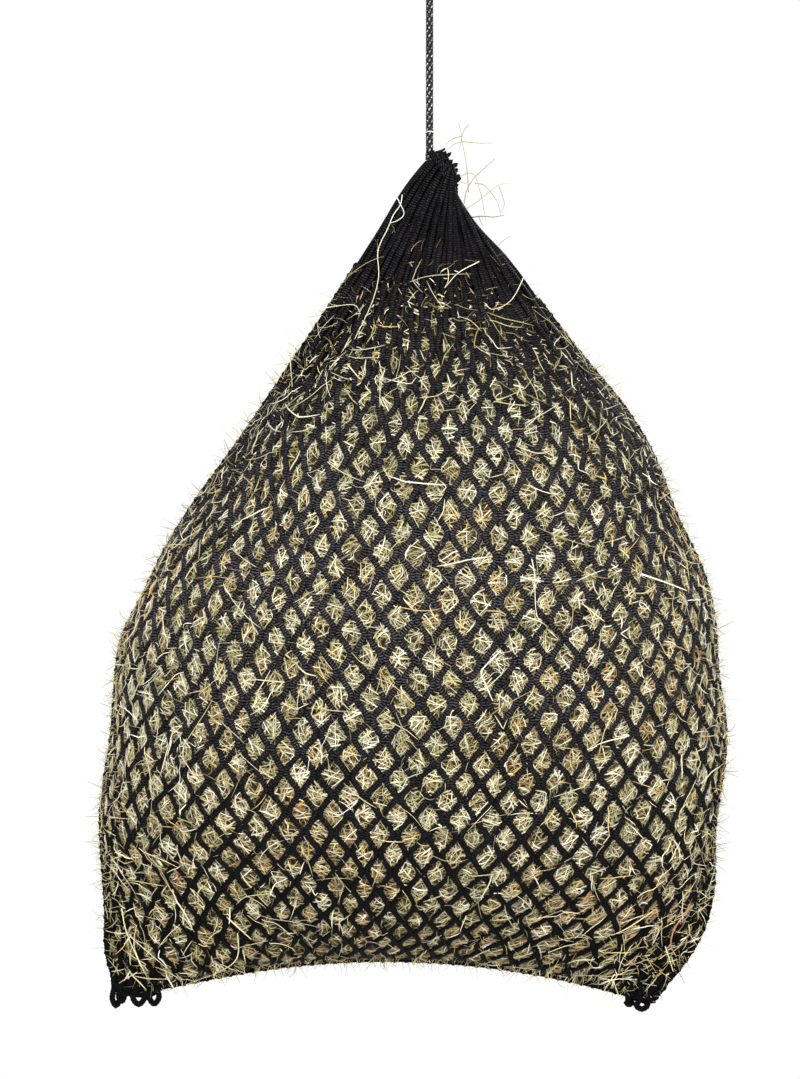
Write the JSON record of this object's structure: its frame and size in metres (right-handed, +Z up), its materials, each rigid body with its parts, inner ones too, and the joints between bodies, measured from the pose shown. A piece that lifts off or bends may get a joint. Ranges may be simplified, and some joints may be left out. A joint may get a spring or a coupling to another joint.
{
  "type": "hay net",
  "caption": "Black knotless slow-feed hay net packed with hay, gathered at the top on a draw cord and hung by one braided cord that ends in a tied eye.",
  "frame": {"origin": "the point inside the tied eye that bears on its hook or ring, on the cord's own line", "axes": "+Z up along the hanging cord, +X to the right seen from the front along the flat net's width, +Y to the back through its depth"},
  "size_m": [0.7137, 0.432, 1.2301],
  "materials": {
    "braided_cord": "satin",
    "net_twine": "matte",
    "seam_cord": "matte",
    "hay": "matte"
  },
  "bodies": {
    "hanger": {"hanging_eye": "braided_cord"},
    "knot": {"eye_knot": "braided_cord", "eye_tail": "braided_cord"},
    "cord": {"hanging_cord": "braided_cord"},
    "net": {"draw_knot": "braided_cord", "draw_cord": "braided_cord", "mouth_loops": "net_twine", "neck_netting": "net_twine", "netting_front": "net_twine", "netting_back": "net_twine", "side_seam_left": "seam_cord", "side_seam_right": "seam_cord", "bottom_seam": "seam_cord", "corner_loops_left": "net_twine", "corner_loops_right": "net_twine", "hay_fill": "hay", "stray_hay": "hay"}
  },
  "joints": [
    {"name": "swing_side", "type": "hinge", "parent": "hanger", "child": "knot", "pos_m": [0, 0, -0.078], "axis": [0, 1, 0], "range_deg": [-35, 35]},
    {"name": "swing_front", "type": "hinge", "parent": "knot", "child": "cord", "pos_m": [0, 0, -0.078], "axis": [1, 0, 0], "range_deg": [-35, 35]},
    {"name": "spin", "type": "hinge", "parent": "cord", "child": "net", "pos_m": [0, 0, -0.276], "axis": [0, 0, 1], "range_deg": [-180, 180]}
  ]
}
